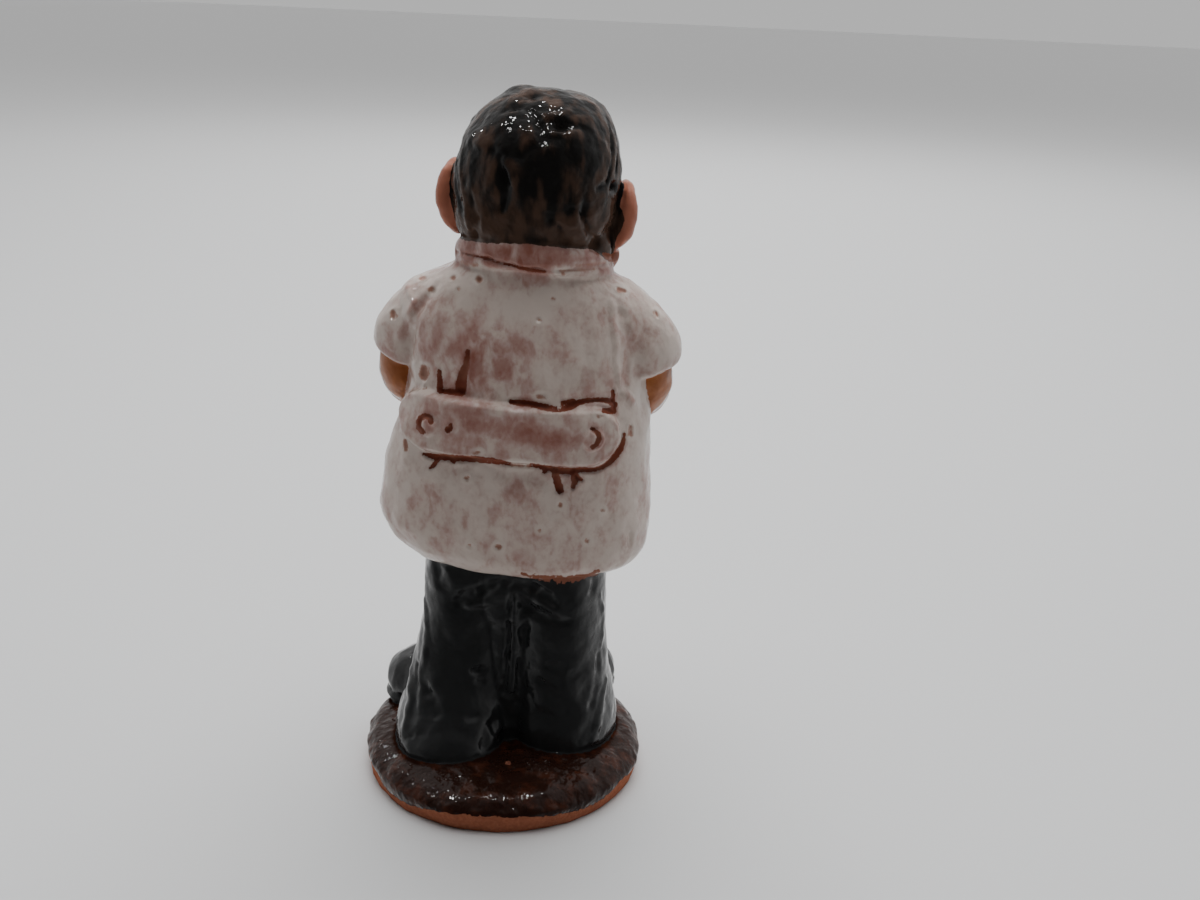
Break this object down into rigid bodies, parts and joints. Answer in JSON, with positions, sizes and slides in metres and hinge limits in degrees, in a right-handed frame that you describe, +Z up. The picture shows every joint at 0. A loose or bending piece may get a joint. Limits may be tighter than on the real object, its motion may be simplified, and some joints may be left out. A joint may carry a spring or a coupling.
{
  "type": "doctor figurine",
  "caption": "Glazed earthenware figurine of a doctor in a short-sleeved white coat, standing with clasped hands on a round base.",
  "frame": {"origin": "centre of the round base on its flat underside", "axes": "+Z up, -Y the way the figure faces, +X to the figure's left hand"},
  "size_m": [0.1016, 0.0961, 0.2288],
  "materials": {
    "glazed_clay": "glossy tin-white, black and brown glazes over red earthenware, bare at the foot"
  },
  "bodies": {
    "root": {"doctor_figurine": "glazed_clay"}
  },
  "joints": []
}
